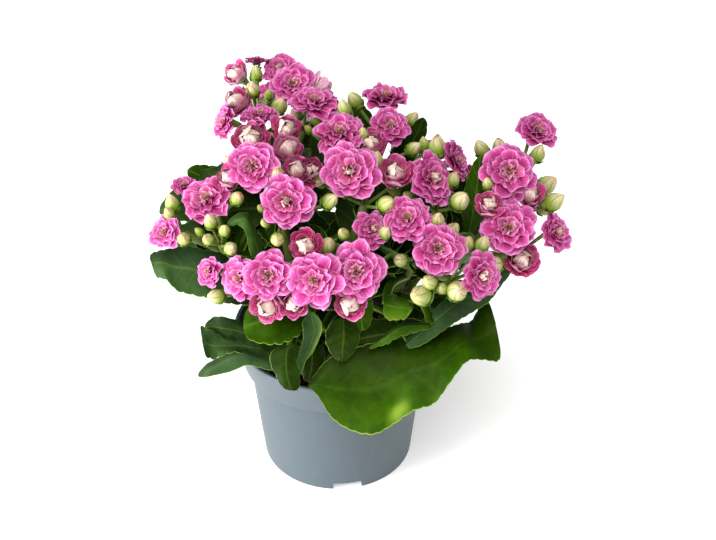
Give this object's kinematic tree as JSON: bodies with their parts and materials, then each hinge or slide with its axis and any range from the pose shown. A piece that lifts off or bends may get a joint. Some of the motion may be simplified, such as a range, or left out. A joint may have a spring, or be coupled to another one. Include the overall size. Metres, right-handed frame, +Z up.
{
  "type": "potted kalanchoe",
  "caption": "Flowering succulent in a tapered nursery pot: leafy stems carry scalloped fleshy leaves under a dome of pink double flowers and green buds.",
  "frame": {"origin": "on the surface that the pot stands on, under the middle of the whole plant's bounding box", "axes": "+Z up, -Y to the front of the plant as pictured, +X to its right; the pot's axis is parallel to Z"},
  "size_m": [0.2022, 0.1518, 0.2043],
  "materials": {
    "pot": "injection-moulded polypropylene, blue-grey, satin",
    "soil": "moist peat compost with fibres and white grit",
    "leaf": "fleshy leaf, waxy, light edge; green stems, calyces and buds",
    "petal": "soft petals, pink with magenta shade and pale edges, cream at the middle"
  },
  "bodies": {
    "root": {"pot": "pot", "soil": "soil", "shoot_front": "leaf", "shoot_front_right": "leaf", "shoot_front_left": "leaf", "shoot_left": "leaf", "shoot_right": "leaf", "shoot_back_left": "leaf", "shoot_back": "leaf", "blooms_front_1": "petal", "blooms_front_2": "petal", "blooms_front_3": "petal", "blooms_front_4": "petal", "blooms_front_right_1": "petal", "blooms_front_right_2": "petal", "blooms_front_right_3": "petal", "blooms_front_right_4": "petal", "blooms_front_left_1": "petal", "blooms_front_left_2": "petal", "blooms_front_left_3": "petal", "blooms_front_left_4": "petal", "blooms_front_left_5": "petal", "blooms_front_left_6": "petal", "blooms_front_left_7": "petal", "blooms_front_left_8": "petal", "blooms_left_1": "petal", "blooms_left_2": "petal", "blooms_left_3": "petal", "blooms_right_1": "petal", "blooms_right_2": "petal", "blooms_right_3": "petal", "blooms_right_4": "petal", "blooms_right_5": "petal", "blooms_right_6": "petal", "blooms_right_7": "petal", "blooms_back_left_1": "petal", "blooms_back_left_2": "petal", "blooms_back_left_3": "petal", "blooms_back_left_4": "petal", "blooms_back_left_5": "petal", "blooms_back_left_6": "petal", "blooms_back_left_7": "petal", "blooms_back_left_8": "petal", "blooms_back_left_9": "petal", "blooms_back_left_10": "petal", "blooms_back_left_11": "petal", "blooms_back_1": "petal", "blooms_back_2": "petal", "blooms_back_3": "petal", "blooms_back_4": "petal", "blooms_back_5": "petal", "blooms_back_6": "petal", "blooms_back_7": "petal", "blooms_back_8": "petal", "blooms_back_9": "petal", "blooms_back_10": "petal", "blooms_back_11": "petal"}
  },
  "joints": []
}
